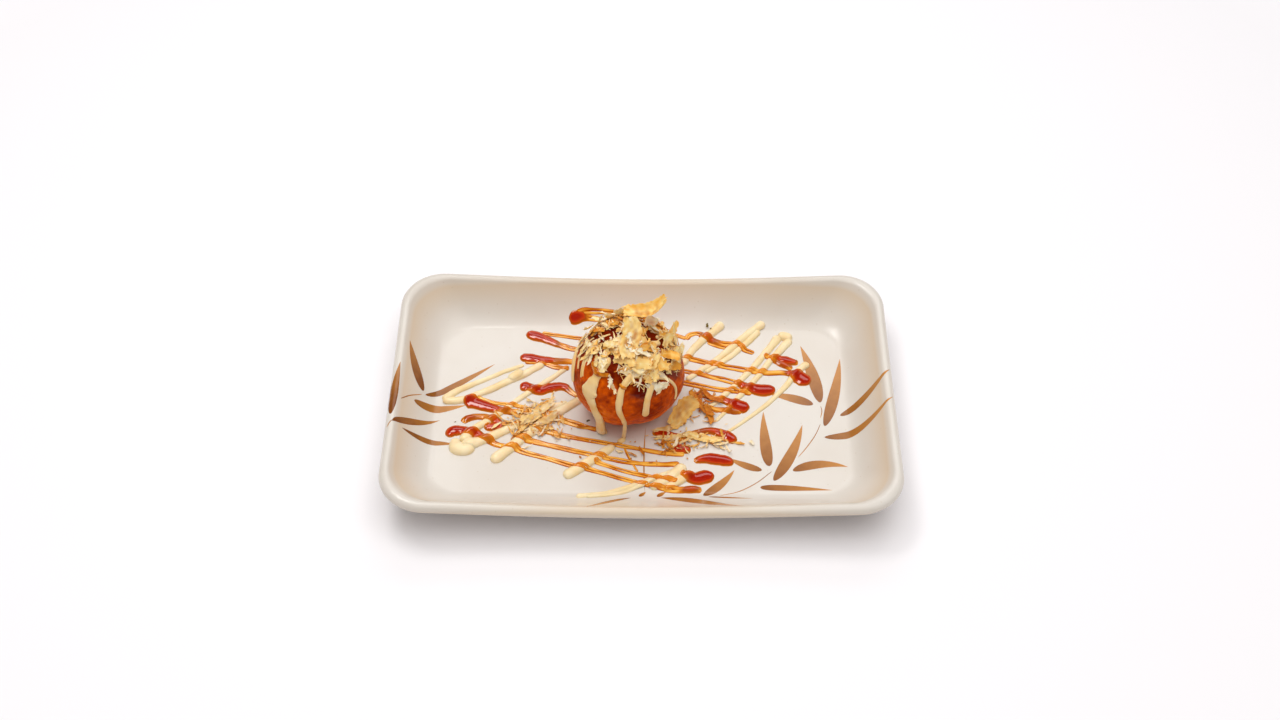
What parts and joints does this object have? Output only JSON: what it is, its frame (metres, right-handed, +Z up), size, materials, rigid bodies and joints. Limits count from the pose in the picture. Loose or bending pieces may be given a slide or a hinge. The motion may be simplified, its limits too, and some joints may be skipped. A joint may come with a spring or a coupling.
{
  "type": "plated takoyaki",
  "caption": "Takoyaki ball with bonito flakes, piped mayonnaise and brown sauce on a long rectangular stoneware plate.",
  "frame": {"origin": "centre of the plate's foot, at the level that the plate stands on", "axes": "+X along the plate's long side, +Z up, -Y towards the eater"},
  "size_m": [0.2, 0.121, 0.0594],
  "materials": {
    "stoneware": "cream gloss glaze with brown bamboo leaves under it",
    "batter_crust": "fried batter crust, orange-brown, oily sheen",
    "bonito": "thin dry shaved fish, translucent beige",
    "mayonnaise": "smooth cream, satin",
    "brown_sauce": "thick clear red-brown sauce, wet gloss",
    "leaf_print": "brown underglaze print"
  },
  "bodies": {
    "root": {"plate": "stoneware", "takoyaki_ball": "batter_crust", "bonito_heap": "bonito", "bonito_curl": "bonito", "bonito_flake": "bonito", "mayonnaise_back": "mayonnaise", "mayonnaise_right_double": "mayonnaise", "mayonnaise_right_fork": "mayonnaise", "mayonnaise_right_outer": "mayonnaise", "mayonnaise_left_loop": "mayonnaise", "mayonnaise_left_fork": "mayonnaise", "mayonnaise_front_left": "mayonnaise", "mayonnaise_front": "mayonnaise", "mayonnaise_drip_left": "mayonnaise", "mayonnaise_drip_middle": "mayonnaise", "mayonnaise_drip_right": "mayonnaise"}
  },
  "joints": []
}
